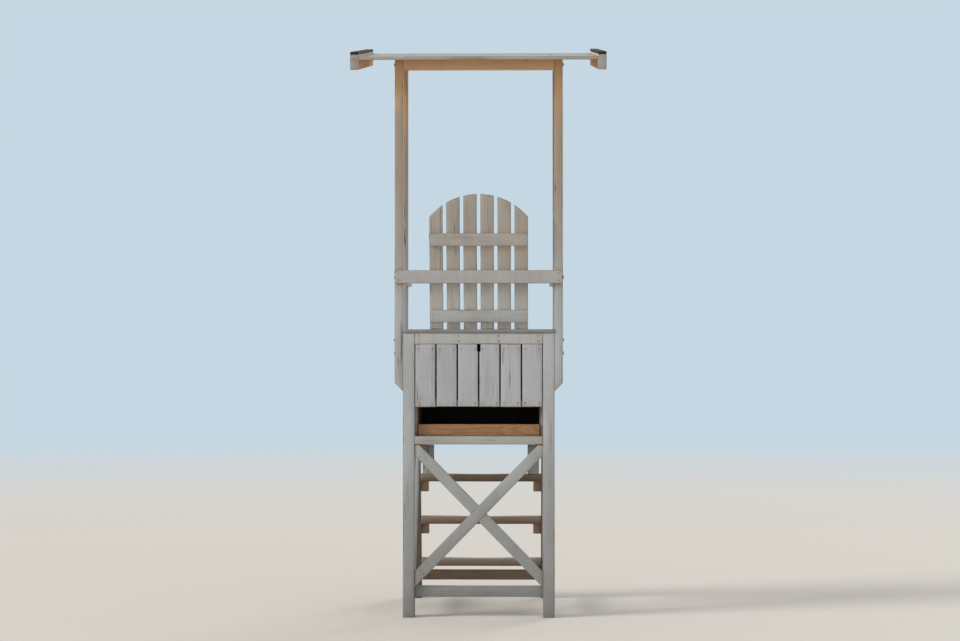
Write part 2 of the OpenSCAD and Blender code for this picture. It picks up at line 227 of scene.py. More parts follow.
def add_piece(name, spots, faces, marks, material):
    """Makes one mesh object of points, faces and named values at the points."""
    mesh = bpy.data.meshes.new(name)
    mesh.from_pydata(spots, [], faces)
    for mark_name, values in marks.items():
        layer = mesh.attributes.new(mark_name, "FLOAT_VECTOR", "POINT")
        layer.data.foreach_set("vector", np.asarray(values, np.float32).ravel())
    mesh.shade_smooth()
    mesh.set_sharp_from_angle(angle=sharp_angle)
    mesh.materials.append(material)
    piece = bpy.data.objects.new(name, mesh)
    scene.collection.objects.link(piece)
    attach(piece, "root")
    return piece


def build(name, timbers, material, spacing=0.05):
    """Joins timbers into one piece that stands for the CAD node of that name. Each point keeps its
    spot within its own timber, the timber's reach, a draw, the nails and the marked face. The
    feet stand flat, so nothing goes below the ground."""
    made, faces, count = [], [], 0
    for piece in timbers:
        spot, squares, reach = timber_surface(piece, spacing)
        marked = piece["face"](*spot.T) if piece["face"] else np.zeros(len(spot))
        made.append([np.array(piece["middle"]) + spot @ np.array(piece["axes"]), spot, reach,
                     np.tile(draws.random(3), (len(spot), 1)), nail_marks(piece, spot),
                     np.column_stack([marked] * 3)])
        faces.append(squares + count)
        count += len(spot)
    spots, *values = (np.concatenate(rows) for rows in zip(*made))
    spots[:, 2] = np.maximum(spots[:, 2], 0)
    marks = dict(zip(("place", "reach", "draw", "nail", "face"), values))
    whole = add_piece(name + "_timber", spots, np.concatenate(faces), marks, material)
    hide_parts(name)


def join(tree, value, socket):
    """Feeds an input with another node's output, a number or a colour. None leaves it as it is."""
    if isinstance(value, bpy.types.NodeSocket):
        tree.links.new(value, socket)
    elif value is not None:
        socket.default_value = (*value, 1) if socket.type == "RGBA" else value


def put(tree, kind, *values, **options):
    """Adds a shader node, sets its options and feeds its inputs in order."""
    node = tree.nodes.new("ShaderNode" + kind)
    for key, value in options.items():
        setattr(node, key, value)
    for socket, value in zip(node.inputs, values):
        join(tree, value, socket)
    return node


def reckon(tree, operation, *values):
    """One sum of a Math node."""
    return put(tree, "Math", *values, operation=operation).outputs[0]


def times(tree, first, second, added=None):
    """The product of two values, plus a third where one is given."""
    operation = "MULTIPLY" if added is None else "MULTIPLY_ADD"
    return reckon(tree, operation, first, second, added)


def reckon_parts(tree, operation, *values):
    """One sum of a Vector Math node, for each of the three parts."""
    return put(tree, "VectorMath", *values, operation=operation).outputs[0]


def parts(tree, vector):
    """The three parts of a vector."""
    return put(tree, "SeparateXYZ", vector).outputs


def fade(tree, value, start, end, first=0.0, last=1.0):
    """A smooth step of a value, from first at start to last at end. Start may be the larger."""
    step = put(tree, "MapRange", value, start, end, first, last, interpolation_type="SMOOTHSTEP")
    return step.outputs[0]


def noise(tree, vector, scale, detail=2.0, roughness=0.5):
    """Smooth noise from 0 to 1 at a vector. It can have its own scale along each axis."""
    if isinstance(scale, tuple):
        vector, scale = reckon_parts(tree, "MULTIPLY", vector, scale), 1.0
    return put(tree, "TexNoise", vector, None, scale, detail, roughness).outputs[0]


def tint(tree, share, first, second, most=None):
    """Colour mixed from first to second by a share from 0 to 1, or by that share of the most."""
    node = put(tree, "Mix", times(tree, share, most) if most else share, data_type="RGBA")
    join(tree, first, node.inputs[6])
    join(tree, second, node.inputs[7])
    return node.outputs[2]


def effect(name, inputs, outputs):
    """An empty shader group with named inputs and outputs, and the sockets at its two ends."""
    tree = bpy.data.node_groups.new(name, "ShaderNodeTree")
    for label, value in inputs.items():
        socket = tree.interface.new_socket(label, in_out="INPUT", socket_type="NodeSocketFloat")
        socket.default_value = value
    for label in outputs:
        tree.interface.new_socket(label, in_out="OUTPUT", socket_type="NodeSocketFloat")
    return tree, tree.nodes.new("NodeGroupInput").outputs, tree.nodes.new("NodeGroupOutput").inputs


def use(tree, group, **values):
    """Places a group in a material with its own values, and gives its outputs."""
    node = tree.nodes.new("ShaderNodeGroup")
    node.node_tree = group
    for key, value in values.items():
        join(tree, value, node.inputs[key])
    return node.outputs


def mark(tree, name):
    """A named value that the mesh keeps at its points."""
    return put(tree, "Attribute", attribute_name=name).outputs["Vector"]


def own_spot(tree):
    """The spot within its own timber, moved by the timber's draw so that no two look alike."""
    shift = (13.0, 7.0, 5.0)
    return reckon_parts(tree, "MULTIPLY_ADD", mark(tree, "draw"), shift, mark(tree, "place"))


# Grain: growth rings, which lie round a pith beside the timber and bend round its knots, fibres
# that run along it, and drying cracks
grain, given, out = effect("timber grain", {"Ring": 0.007}, ["Rings", "Fibres", "Cracks", "Knots"])
moved = own_spot(grain)
spot = parts(grain, mark(grain, "place"))
draw = parts(grain, mark(grain, "draw"))
pith_b = times(grain, draw[1], 0.14, -0.07)
pith_c = times(grain, draw[2], -0.07, -0.012)
from_b = reckon(grain, "SUBTRACT", spot[1], pith_b)
from_c = reckon(grain, "SUBTRACT", spot[2], pith_c)
square = times(grain, from_b, from_b)
radius = reckon(grain, "SQRT", times(grain, from_c, from_c, square))
bend = noise(grain, moved, (1.3, 4.0, 4.0), 3.0, 0.55)
radius = times(grain, bend, 0.07, radius)
long_spot = reckon_parts(grain, "MULTIPLY", moved, (0.55, 1.0, 1.0))
knot = put(grain, "TexVoronoi", long_spot, None, 11.0).outputs
picked = reckon(grain, "GREATER_THAN", parts(grain, knot["Color"])[0], 0.72)
swirl = times(grain, fade(grain, knot["Distance"], 0.42, 0.05), picked)
radius = times(grain, swirl, 0.02, radius)
turns = reckon(grain, "DIVIDE", radius, given["Ring"])
rings = reckon(grain, "SINE", times(grain, turns, 2 * pi))
join(grain, times(grain, rings, 0.5, 0.5), out["Rings"])
core = fade(grain, knot["Distance"], 0.13, 0.06)
join(grain, times(grain, core, picked), out["Knots"])
fibres = noise(grain, moved, (7.0, 190.0, 190.0), 4.0, 0.6)
join(grain, fibres, out["Fibres"])
split = noise(grain, moved, (0.8, 42.0, 42.0))
split = reckon(grain, "ABSOLUTE", reckon(grain, "SUBTRACT", split, 0.5))
where = fade(grain, noise(grain, moved, (2.0, 7.0, 7.0)), 0.52, 0.64)
cracks = times(grain, fade(grain, split, 0.012, 0.0), where)
join(grain, cracks, out["Cracks"])

# Edges: how far the surface is from the timber's nearest edge and from its nearest end, and the
# dirt that gathers right along the edge
edges, given, out = effect("timber edges", {}, ["Edge", "End", "Seam"])
inside = reckon_parts(edges, "ABSOLUTE", mark(edges, "place"))
to_a, to_b, to_c = parts(edges, reckon_parts(edges, "SUBTRACT", mark(edges, "reach"), inside))
nearer = reckon(edges, "MINIMUM", to_a, to_b)
farther = reckon(edges, "MAXIMUM", to_a, to_b)
to_edge = reckon(edges, "MAXIMUM", nearer, reckon(edges, "MINIMUM", farther, to_c))
join(edges, to_edge, out["Edge"])
join(edges, to_a, out["End"])
join(edges, fade(edges, to_edge, 0.005, 0.0), out["Seam"])

# Wear: where the paint has gone, first along edges and ends, then in blotches and off ridges
wear, given, out = effect(
    "paint wear", {"Wear": 0.1, "Fibres": 0.5, "Edge": 1.0, "End": 1.0}, ["Bare", "Thin"])
moved = own_spot(wear)
blotch = noise(wear, moved, (4.0, 15.0, 15.0), 6.0, 0.64)
ragged = noise(wear, moved, (18.0, 60.0, 60.0), 3.0)
rim = reckon(wear, "DIVIDE", given["Edge"], times(wear, ragged, 0.02))
rim = fade(wear, rim, 1.0, 0.15)
patches = noise(wear, moved, (2.2, 6.0, 6.0))
rim = times(wear, rim, fade(wear, patches, 0.42, 0.62))
tip = fade(wear, given["End"], 0.07, 0.0)
score = times(wear, given["Fibres"], 0.3, times(wear, blotch, 0.7))
score = times(wear, rim, 0.19, score)
score = times(wear, tip, 0.05, score)
score = times(wear, given["Wear"], 0.34, score)
join(wear, fade(wear, score, 0.685, 0.72), out["Bare"])
join(wear, fade(wear, score, 0.48, 0.70), out["Thin"])

# Grime: clouds of dirt, vertical runs, and a darkening that is dense at the feet and thinner up to
# chest height, part rain splash and part painted shade near the ground
grime, given, out = effect("grime", {"Runs": 0.6}, ["Dirt", "SplashAndShade"])
where = put(grime, "TexCoord").outputs["Object"]
cloud = noise(grime, where, (4.0, 4.0, 2.4), 5.0, 0.62)
runs = noise(grime, where, (34.0, 34.0, 2.0), 3.0, 0.6)
runs = times(grime, fade(grime, runs, 0.48, 0.75), given["Runs"])
dirt = reckon(grime, "ADD", fade(grime, cloud, 0.40, 0.72), runs)
join(grime, reckon(grime, "MINIMUM", dirt, 1.0), out["Dirt"])
ragged = times(grime, noise(grime, where, 9.0, 4.0, 0.65), -0.3, 0.15)
height = reckon(grime, "ADD", parts(grime, where)[2], ragged)
splash_and_shade = fade(grime, height, 0.2, 1.3, 0.65, 0.0)
splash_and_shade = reckon(grime, "ADD", splash_and_shade, fade(grime, height, 0.0, 0.3, 0.35, 0.0))
join(grime, splash_and_shade, out["SplashAndShade"])

# Rust: a ragged halo round each nail head and a run of rust below it
rust, given, out = effect("rust marks", {"Size": 0.010, "Run": 0.0}, ["Rust"])
moved = own_spot(rust)
row, below, gap = parts(rust, mark(rust, "nail"))
spot = parts(rust, mark(rust, "place"))
beside = reckon(rust, "SUBTRACT", reckon(rust, "ABSOLUTE", spot[1]), reckon(rust, "ABSOLUTE", gap))
ragged = times(rust, noise(rust, moved, 70.0, 3.0), 0.012, -0.006)
square = times(rust, beside, beside)
far = reckon(rust, "SQRT", times(rust, row, row, square))
far = reckon(rust, "DIVIDE", reckon(rust, "ADD", far, ragged), given["Size"])
halo = fade(rust, far, 1.0, 0.2)
strip = reckon(rust, "ADD", reckon(rust, "ABSOLUTE", beside), ragged)
strip = fade(rust, strip, 0.006, 0.0)
strip = times(rust, strip, fade(rust, below, 0.11, 0.0))
halo = reckon(rust, "MAXIMUM", halo, times(rust, strip, given["Run"]))
deep = times(rust, spot[2], reckon(rust, "SIGN", gap))
deep = reckon(rust, "SUBTRACT", parts(rust, mark(rust, "reach"))[2], deep)
on_face = reckon(rust, "LESS_THAN", deep, 0.0025)
join(rust, times(rust, halo, on_face), out["Rust"])

wood_light = (0.40, 0.28, 0.18)
wood_dark = (0.26, 0.17, 0.10)
wood_grey = (0.33, 0.285, 0.235)
knot_brown = (0.16, 0.075, 0.035)
crack_dark = (0.06, 0.045, 0.035)
seam_dark = (0.13, 0.115, 0.10)
rust_brown = (0.20, 0.085, 0.03)
splash_and_shade_grey = (0.17, 0.17, 0.16)
paint_dirt = (0.25, 0.235, 0.205)
paint_knot = (0.36, 0.25, 0.13)
relief_depth = 0.002
streak_height = 0.5


def wood_colour(tree, made, light, dark, grey, greyed):
    """Colour of the timber itself: light and dark rings, greyed by fibre and browned by knots."""
    wood = tint(tree, made["Rings"], light, dark)
    wood = tint(tree, fade(tree, made["Fibres"], 0.25, 0.7), wood, grey, greyed)
    wood = tint(tree, made["Knots"], wood, knot_brown, 0.7)
    return tint(tree, made["Cracks"], wood, crack_dark)


def finish(material, colour, roughness, height, bump):
    """Gives a material its own shader, fed by a colour, a roughness and a height."""
    tree = material.node_tree
    relief = put(tree, "Bump", bump, relief_depth)
    join(tree, height, relief.inputs["Height"])
    shader = put(tree, "BsdfPrincipled", colour, None, roughness)
    join(tree, relief.outputs[0], shader.inputs["Normal"])
    put(tree, "OutputMaterial", shader.outputs[0])
    return material


def new_material(name):
    """An empty material with its node tree."""
    material = bpy.data.materials.new(name)
    material.use_nodes = True
    material.node_tree.nodes.clear()
    return material, material.node_tree


def painted(name, colour, worn, steps=(), run=0.0, raw=wood_dark):
    """Weathered oil paint over timber. Worn says how much timber shows. Each step gives two
    heights, between which the coat fades to a third value, a colour. Raw is the marked face's."""
    material, tree = new_material(name)
    made = use(tree, grain)
    rim = use(tree, edges)
    gone = use(tree, wear, Wear=worn, Fibres=made["Fibres"], Edge=rim["Edge"], End=rim["End"])
    soil = use(tree, grime)
    draw = parts(tree, mark(tree, "draw"))
    dull = [0.86 * part for part in colour]
    coat = tint(tree, draw[0], colour, dull, 0.7)
    height = parts(tree, put(tree, "TexCoord").outputs["Object"])[2]
    streaked = times(tree, made["Fibres"], streak_height, height)
    for start, end, faded in steps:
        step = fade(tree, streaked, start + streak_height / 2, end + streak_height / 2)
        coat = tint(tree, step, coat, faded)
    coat = tint(tree, soil["Dirt"], coat, paint_dirt, 0.35)
    coat = tint(tree, gone["Thin"], coat, wood_grey, 0.3)
    coat = tint(tree, made["Knots"], coat, paint_knot, 0.3)
    coat = tint(tree, made["Cracks"], coat, crack_dark)
    wood = wood_colour(tree, made, wood_light, wood_dark, wood_grey, 0.6)
    shown = tint(tree, gone["Bare"], coat, wood)
    shown = tint(tree, rim["Seam"], shown, seam_dark, 0.5)
    # Darker towards the feet: rain splash, and painted shade near the ground.
    shown = tint(tree, soil["SplashAndShade"], shown, splash_and_shade_grey, 0.85)
    shown = tint(tree, use(tree, rust, Run=run)["Rust"], shown, rust_brown, 0.4)
    never = parts(tree, mark(tree, "face"))[0]
    plain = tint(tree, fade(tree, made["Fibres"], 0.3, 0.7), raw, [0.6 * part for part in raw])
    shown = tint(tree, never, shown, plain)
    timber_shows = reckon(tree, "MAXIMUM", gone["Bare"], never)
    roughness = fade(tree, timber_shows, 0.0, 1.0, 0.5, 0.86)
    height = times(tree, made["Fibres"], 0.5)
    height = times(tree, timber_shows, -0.35, height)
    height = times(tree, made["Cracks"], -0.8, height)
    return finish(material, shown, roughness, height, 0.5)


leg_paint = painted("leg_paint", (0.47, 0.485, 0.49), 0.04)
# The front legs' undersides are dark brown: bare timber, and painted shade.
front_leg_paint = painted("front_leg_paint", (0.46, 0.47, 0.47), 0.14, raw=(0.17, 0.135, 0.10))
front_low, front_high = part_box("front_leg_right")
rear_low, rear_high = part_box("rear_leg_right")
leg_width = front_high.x - front_low.x
leg_depth = 0.09
leg_rake = radians(14)
raked = Vector((0, cos(leg_rake), sin(leg_rake)))
leg_front = (Vector((0, front_high.y, 0)), raked)
leg_back = (Vector((0, front_low.y, front_high.z)), raked)

for side, sign in both_sides:
    build("rear_leg_" + side, [block(*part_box("rear_leg_" + side), 2)], leg_paint)
    x = sign * (front_high.x + front_low.x) / 2
    foot = Vector((x, front_high.y - leg_depth / cos(leg_rake) / 2, 0))
    head = Vector((x, front_low.y + leg_depth / cos(leg_rake) / 2, front_high.z))
    leg = strut(foot, head, (0, 1, 0), leg_depth, leg_width)
    leg["low"] = [plane_cut(leg, foot, (0, 0, 1))]
    leg["high"] = [plane_cut(leg, head, (0, 0, 1))]
    build("front_leg_" + side, [mark_face(leg, 1, -1, reach=0.02)], front_leg_paint)

# Bottom rails
# Rails of 65 by 35 mm, let in between the legs 12 cm above the ground and painted with them. Rain
# splashes them, and their paint is darker as painted shade near the ground, so they are the darkest.
low_rail_paint = painted("low_rail_paint", (0.41, 0.425, 0.43), 0.14)
rail_thickness = 0.035


def pair(low, high, width):
    """The left and right end of a box, each as wide as given."""
    return ((low, Vector((low.x + width, high.y, high.z))), (Vector((high.x - width, low.y, low.z)), high))


def build_pair(name, width, material, grain_axis=1, front=None):
    """Builds the left and right timbers at the ends of a node's box. A front plane cuts them."""
    timbers = [block(*ends, grain_axis) for ends in pair(*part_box(name), width)]
    for piece in timbers if front else ():
        piece["high"] = [plane_cut(piece, *front)]
    build(name, timbers, material)


build("rear_bottom_rail", [block(*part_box("rear_bottom_rail"), 0)], low_rail_paint)
build_pair("side_bottom_rails", rail_thickness, low_rail_paint, front=leg_back)

# Braces
# Boards of 67 by 22 mm that cross between the rear legs, halved over each other so that they lie
# in one plane, and one more on each side up to the front leg. Each end has two nails.
brace_paint = painted("brace_paint", (0.47, 0.485, 0.485), 0.08)
brace_width = 0.067
brace_foot_rise = 0.041
brace_head_drop = 0.020
brace_nail_inset = 0.062
brace_nail_gap = 0.014
halving_play = 0.0003
squeeze = 0.02
nail_stray = 0.001
steel_rust = (0.24, 0.105, 0.045)
steel_grey = (0.46, 0.43, 0.39)
steel_pits = (0.10, 0.05, 0.03)
inner_x = rear_low.x
foot_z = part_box("rear_bottom_rail")[1].z + brace_foot_rise
head_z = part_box("rear_middle_rail")[0].z - brace_head_drop


def nailed(piece, rows, gap=0.03, face=1):
    """Gives a timber its rows of nails: places along the grain, distance each side of the middle,
    and the face that they are driven into, 1 or -1."""
    piece["rows"], piece["nail_gap"], piece["nail_face"] = list(rows), gap, face
    return piece


def turned(profile, sides):
    """A closed round shape: rings of points at a profile's radii and heights, squares between
    them, and a flat cap at each end."""
    turn = 2 * pi * np.arange(sides) / sides
    radius, height = np.hsplit(np.array(profile), 2)
    rings = np.dstack([radius * np.cos(turn), radius * np.sin(turn), np.tile(height, sides)])
    top = (len(profile) - 1) * sides
    first = np.arange(top).reshape(-1, sides)
    second = np.roll(first, -1, axis=1)
    squares = np.stack([first, second, second + sides, first + sides], -1).reshape(-1, 4)
    caps = [list(range(sides))[::-1], list(range(top, top + sides))]
    return rings.reshape(-1, 3), squares.tolist() + caps


def fasteners(name, shapes, places, facing):
    """Copies turned shapes to many places as one mesh. Each copy points along its facing
    direction and is turned about it by a random angle."""
    places, facing = np.array(places), np.array(facing)
    aside = np.where(abs(facing[:, 2:]) > 0.8, [[1.0, 0, 0]], [[0, 0, 1.0]])
    first = np.cross(aside, facing)
    first /= np.linalg.norm(first, axis=1, keepdims=True)
    second = np.cross(facing, first)
    turn = draws.uniform(0, 2 * pi, (len(places), 1))
    first = np.cos(turn) * first + np.sin(turn) * second
    axes = np.stack([first, np.cross(facing, first), facing], axis=1)
    spots, faces, count = [], [], 0
    for points, skin in shapes:
        spots.append((places[:, None] + points @ axes).reshape(-1, 3))
        faces += [[corner + count + i * len(points) for corner in face]
                  for i in range(len(places)) for face in skin]
        count += len(places) * len(points)
    add_piece(name, np.concatenate(spots), faces, {}, steel)


def nail_heads(name, timbers):
    """Heads of all the nails in some timbers: one each side of the middle in every row."""
    places, facing = [], []
    for piece in timbers:
        along, across, through = np.array(piece["axes"])
        rows = np.repeat(piece["rows"], 2)[:, None]
        gaps = np.tile([-1, 1], len(piece["rows"]))[:, None] * piece["nail_gap"]
        rows = rows + draws.normal(0, nail_stray, rows.shape)
        outward = piece["nail_face"] * through
        places.append(np.array(piece["middle"]) + rows * along + gaps * across
                      + piece["half"][2] * outward)
        facing.append(np.tile(outward, (len(rows), 1)))
    fasteners(name + "_nails", [nail_head], np.concatenate(places), np.concatenate(facing))


nail_head = turned([(0.0042, -0.003), (0.0046, -0.0002), (0.0043, 0.0005), (0.0028, 0.0009)], 8)
bolt_head = [turned([(0.0125, -0.001), (0.0125, 0.0012), (0.0118, 0.0018), (0.009, 0.0018)], 14),
             turned([(0.0098, 0.001), (0.0098, 0.0062), (0.0088, 0.0072), (0.005, 0.0074)], 6)]

steel, tree = new_material("rusty_steel")
where = put(tree, "TexCoord").outputs["Object"]
patch = noise(tree, where, 60.0, 3.0, 0.6)
speck = noise(tree, where, 700.0, 4.0, 0.7)
coat = tint(tree, fade(tree, patch, 0.42, 0.58), steel_rust, steel_grey)
coat = tint(tree, fade(tree, speck, 0.45, 0.65), coat, steel_pits, 0.7)
finish(steel, coat, fade(tree, speck, 0.3, 0.7, 0.6, 0.9), speck, 0.4)


def halved(a, b, c):
    """Halving joint in a brace: within the other brace's width, the lower half of the thickness is
    squeezed flat against the middle plane."""
    crossing = (abs(a) < brace_width / 2 + halving_play / 2) & (c < 0)
    return a, b, np.where(crossing, squeeze * c, c)


low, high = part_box("rear_brace_rising")
rear_braces = []
for name, sign in (("rear_brace_rising", 1), ("rear_brace_falling", -1)):
    foot = Vector((-sign * inner_x, (low.y + high.y) / 2, foot_z))
    head = Vector((sign * inner_x, foot.y, head_z))
    brace = strut(foot, head, (0, 0, 1), brace_width, high.y - low.y)
    brace["marks"] = [side * (brace_width / 2 + play)
                      for side in (-1, 1) for play in (0, halving_play, line_gap)]
    brace["trims"] = [halved]
    brace["low"] = [plane_cut(brace, foot, (1, 0, 0))]
    brace["high"] = [plane_cut(brace, head, (1, 0, 0)), plane_cut(brace, high, (0, 0, 1))]
    nail_place = brace["half"][0] - brace_nail_inset
    nailed(brace, [-nail_place, nail_place], brace_nail_gap, sign)
    build(name, [brace], brace_paint, spacing=0.04)
    rear_braces.append(brace)
nail_heads("rear_braces", rear_braces)

side_braces = []
low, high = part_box("side_braces")
for low, high in pair(low, high, high.x - inner_x):
    foot = Vector(((low.x + high.x) / 2, rear_high.y, foot_z))
    back = leg_back[0].y - (head_z - leg_back[0].z) * tan(leg_rake)
    head = Vector((foot.x, back, head_z))
    brace = strut(foot, head, (0, 0, 1), brace_width, high.x - low.x)
    brace["low"] = [plane_cut(brace, foot, (0, 1, 0)),
                    plane_cut(brace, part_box("rear_bottom_rail")[1], (0, 0, 1))]
    brace["high"] = [plane_cut(brace, *leg_back)]
    nail_place = brace["half"][0] - brace_nail_inset
    nailed(brace, [-nail_place, nail_place], brace_nail_gap, 1 if foot.x > 0 else -1)
    side_braces.append(brace)
build("side_braces", side_braces, brace_paint)
nail_heads("side_braces", side_braces)

# Box floor
# A rail between the rear legs and two bearers along the sides carry five boards, nailed down with
# gaps between, and a lip board on their rear edge keeps gear from sliding out. Only the rail was
# ever painted.
middle_rail_paint = painted("middle_rail_paint", (0.46, 0.44, 0.405), 0.16)
bearer_width = 0.04
board_gap = 0.008
board_thickness = 0.02
wood_damp = (0.14, 0.10, 0.07)


def plain_timber(name, light, dark, grey, greyed, dirt=0.35, lit_top_colour=None):
    """Unpainted softwood: tan rings greyed by weather, dirt in its fibres and rust at its nails.
    The marked face may take another colour, used as painted light: a paler top as if lit from above."""
    material, tree = new_material(name)
    made = use(tree, grain)
    rim = use(tree, edges)
    soil = use(tree, grime)
    draw = parts(tree, mark(tree, "draw"))
    wood = wood_colour(tree, made, light, dark, grey, greyed)
    wood = tint(tree, draw[0], wood, grey, 0.3)
    if lit_top_colour:
        # Painted light: the marked top face turns paler, as if lit from above.
        top_light_share = fade(tree, made["Fibres"], 0.2, 0.7, 1.0, 0.5)
        wood = tint(tree, parts(tree, mark(tree, "face"))[0], wood, lit_top_colour, top_light_share)
    wood = tint(tree, soil["Dirt"], wood, wood_damp, dirt)
    wood = tint(tree, rim["Seam"], wood, [0.5 * part for part in dark], 0.35)
    # Darker towards the feet: rain splash, and painted shade near the ground.
    wood = tint(tree, soil["SplashAndShade"], wood, splash_and_shade_grey, 0.3)
    wood = tint(tree, use(tree, rust)["Rust"], wood, rust_brown, 0.5)
    roughness = fade(tree, made["Fibres"], 0.2, 0.8, 0.9, 0.72)
    height = times(tree, made["Rings"], -0.12, made["Fibres"])
    height = times(tree, made["Cracks"], -0.9, height)
    return finish(material, wood, roughness, height, 0.5)


def shares(low, high, count, gap):
    """Start and end of each of a number of boards that share a length, with gaps between."""
    width = (high - low - (count - 1) * gap) / count
    return [(low + i * (width + gap), low + i * (width + gap) + width) for i in range(count)]


def boards(name, axis, count, gap, grain_axis):
    """The boards of a node that lie side by side along an axis and share the node's box."""
    low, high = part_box(name)
    made = []
    for start, end in shares(low[axis], high[axis], count, gap):
        first, last = low.copy(), high.copy()
        first[axis], last[axis] = start, end
        made.append(block(first, last, grain_axis))
    return made


tan_timber = plain_timber("tan_timber", (0.42, 0.195, 0.066), (0.27, 0.115, 0.035),
                          (0.31, 0.185, 0.095), 0.35)
# The box floor boards are dark: dirt, and painted shade inside the box.
box_timber = plain_timber("box_timber", (0.24, 0.145, 0.08), (0.15, 0.085, 0.045),
                          (0.18, 0.135, 0.10), 0.6)
build("rear_middle_rail", [block(*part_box("rear_middle_rail"), 0)], middle_rail_paint)
build_pair("floor_bearers", bearer_width, tan_timber, front=leg_front)
floor_boards = boards("box_floor", 1, 5, board_gap, 0)
for board in floor_boards:
    nailed(board, [-0.355, 0.355])
build("box_floor", floor_boards, box_timber)
build("box_lip_board", [block(*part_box("box_lip_board"), 0)], tan_timber)
nail_heads("box_floor", floor_boards)

# Box walls
# Upright boards 20 mm thick, nailed at their feet. The rear wall, nailed at its head too, lies
# between the legs under a top rail, has a small notch in its middle and ends above a slot. The
# inner faces were never painted, and those of the front wall are painted near black as the shade
# inside the box.
board_paint = painted("board_paint", (0.46, 0.475, 0.485), 0.04, run=0.7, raw=(0.24, 0.125, 0.055))
# The front wall's inner faces are near black: painted shade inside the box.
front_board_paint = painted("front_board_paint", (0.475, 0.49, 0.50), 0.06, run=0.7,
                            raw=(0.016, 0.013, 0.011))
top_rail_paint = painted("top_rail_paint", (0.465, 0.455, 0.43), 0.06)
front_gap = -0.0004
notch_half = 0.011
notch_height = 0.045
nail_inset = 0.022
head_nail_inset = 0.028
nail_half_gap = 0.042
paint_creep = 0.0142


def notched(board, side):
    """Saws the notch out of a board's top corner, on its right or left side: what lies past the
    notch's edge is squeezed flat against it."""
    floor = board["half"][0] - notch_height
    limit = -notch_half - side * board["middle"].x
    board["marks"] += [floor, floor + halving_play]

    def trim(a, b, c):
        past = (a > floor + halving_play / 2) & (side * b > limit)
        return a, np.where(past, side * (limit + squeeze * (side * b - limit)), b), c

    board["trims"] = [trim]


def sawn_foot(board, most):
    """Saws a board's foot a little long or short and out of square."""
    lift, slope = draws.uniform(-most, most), draws.uniform(-0.012, 0.012)
    half = board["half"][0]
    board["low"] = [lambda b, c: -half + lift + slope * b]


rear_boards = boards("box_rear_boards", 0, 6, board_gap, 2)
notched(rear_boards[2], 1)
notched(rear_boards[3], -1)
for board in rear_boards:
    sawn_foot(board, 0.002)
    half = board["half"][0]
    nailed(board, [nail_inset - half, half - head_nail_inset], nail_half_gap, -1)
    mark_face(board, 2, 1, paint_creep)
build("box_rear_boards", rear_boards, board_paint, spacing=0.035)

batten_height = 0.045
low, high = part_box("box_rear_rails")
rear_rails = [block(low, (high.x, high.y, low.z + batten_height), 0),
              block((low.x, low.y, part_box("box_rear_boards")[1].z), high, 0)]
build("box_rear_rails", rear_rails, top_rail_paint)
top_rail = block(*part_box("box_top_rail"), 0)
nailed(top_rail, [-0.36, -0.12, 0.12, 0.36], gap=0.016)
build("box_top_rail", [top_rail], top_rail_paint)

box_boards = [*rear_boards, top_rail]
for side, axis, count, gap, face, paint in (("left", 1, 4, board_gap, 1, board_paint),
                                            ("right", 1, 4, board_gap, -1, board_paint),
                                            ("front", 0, 6, front_gap, 1, front_board_paint)):
    wall = boards(f"box_{side}_boards", axis, count, gap, 2)
    for board in wall:
        nailed(board, [nail_inset - board["half"][0]], nail_half_gap, face)
        mark_face(board, 2, -face, paint_creep)
    build(f"box_{side}_boards", wall, paint)
    box_boards += wall
nail_heads("box_boards", box_boards)

# Seat
# Six slats, 22 mm thick, laid across the legs and rails and nailed down. The front one is rounded
# over. Sitting has worn the paint, and it never covered the undersides or the rear edge, which
# are a darker grey.
seat_paint = painted("seat_paint", (0.46, 0.43, 0.39), 0.20, raw=(0.31, 0.285, 0.26))
seat_gap = 0.008

build_pair("side_seat_rails", rail_thickness, top_rail_paint, front=leg_back)
build("front_seat_rail", [block(*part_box("front_seat_rail"), 0)], top_rail_paint)

seat_slats = boards("seat_slats", 1, 6, seat_gap, 0)
seat_slats[-1]["ease"] = 0.008
for slat in seat_slats:
    nailed(slat, [-0.403, 0.403])
    mark_face(slat, 2, -1)
mark_face(seat_slats[0], 1, -1)
build("seat_slats", seat_slats, seat_paint)
nail_heads("seat", seat_slats)

# Back
# Six upright slats sawn to one arch at the top, nailed to two battens behind them. The back
# leans 12 degrees over the top edge of the guard rail, and its feet stand level on the seat,
# where the paint is lighter: painted light that offsets the lower batten's shadow.
# The slats' feet are painted lighter: painted light that offsets the lower batten's shadow. Higher up they
# turn tan.
slat_paint = painted("slat_paint", (0.64, 0.63, 0.59), 0.12,
                     steps=[(1.75, 1.84, (0.49, 0.485, 0.45)), (1.8, 2.2, (0.43, 0.375, 0.315))])
batten_paint = painted("batten_paint", (0.51, 0.505, 0.49), 0.10,
                       steps=[(1.9, 2.3, (0.445, 0.40, 0.35))])
back_lean = radians(12)
slat_gap = 0.021
slat_thickness = 0.02
arch_radius = 0.385
batten_width = 0.076
low_batten_rise = 0.082
high_batten_rise = 0.538
up_back = Vector((0, -sin(back_lean), cos(back_lean)))
off_back = Vector((0, cos(back_lean), sin(back_lean)))
pivot = Vector((0, rear_face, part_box("rear_guard_rail")[1].z))
seat_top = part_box("seat_slats")[1].z
back_low, back_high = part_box("back_slats")
arch_top = (back_high.z - pivot.z - slat_thickness * sin(back_lean)) / cos(back_lean)
arch_foot = (seat_top - pivot.z) / cos(back_lean)
batten_places = [(seat_top + rise - pivot.z) / cos(back_lean)
                 for rise in (low_batten_rise, high_batten_rise)]

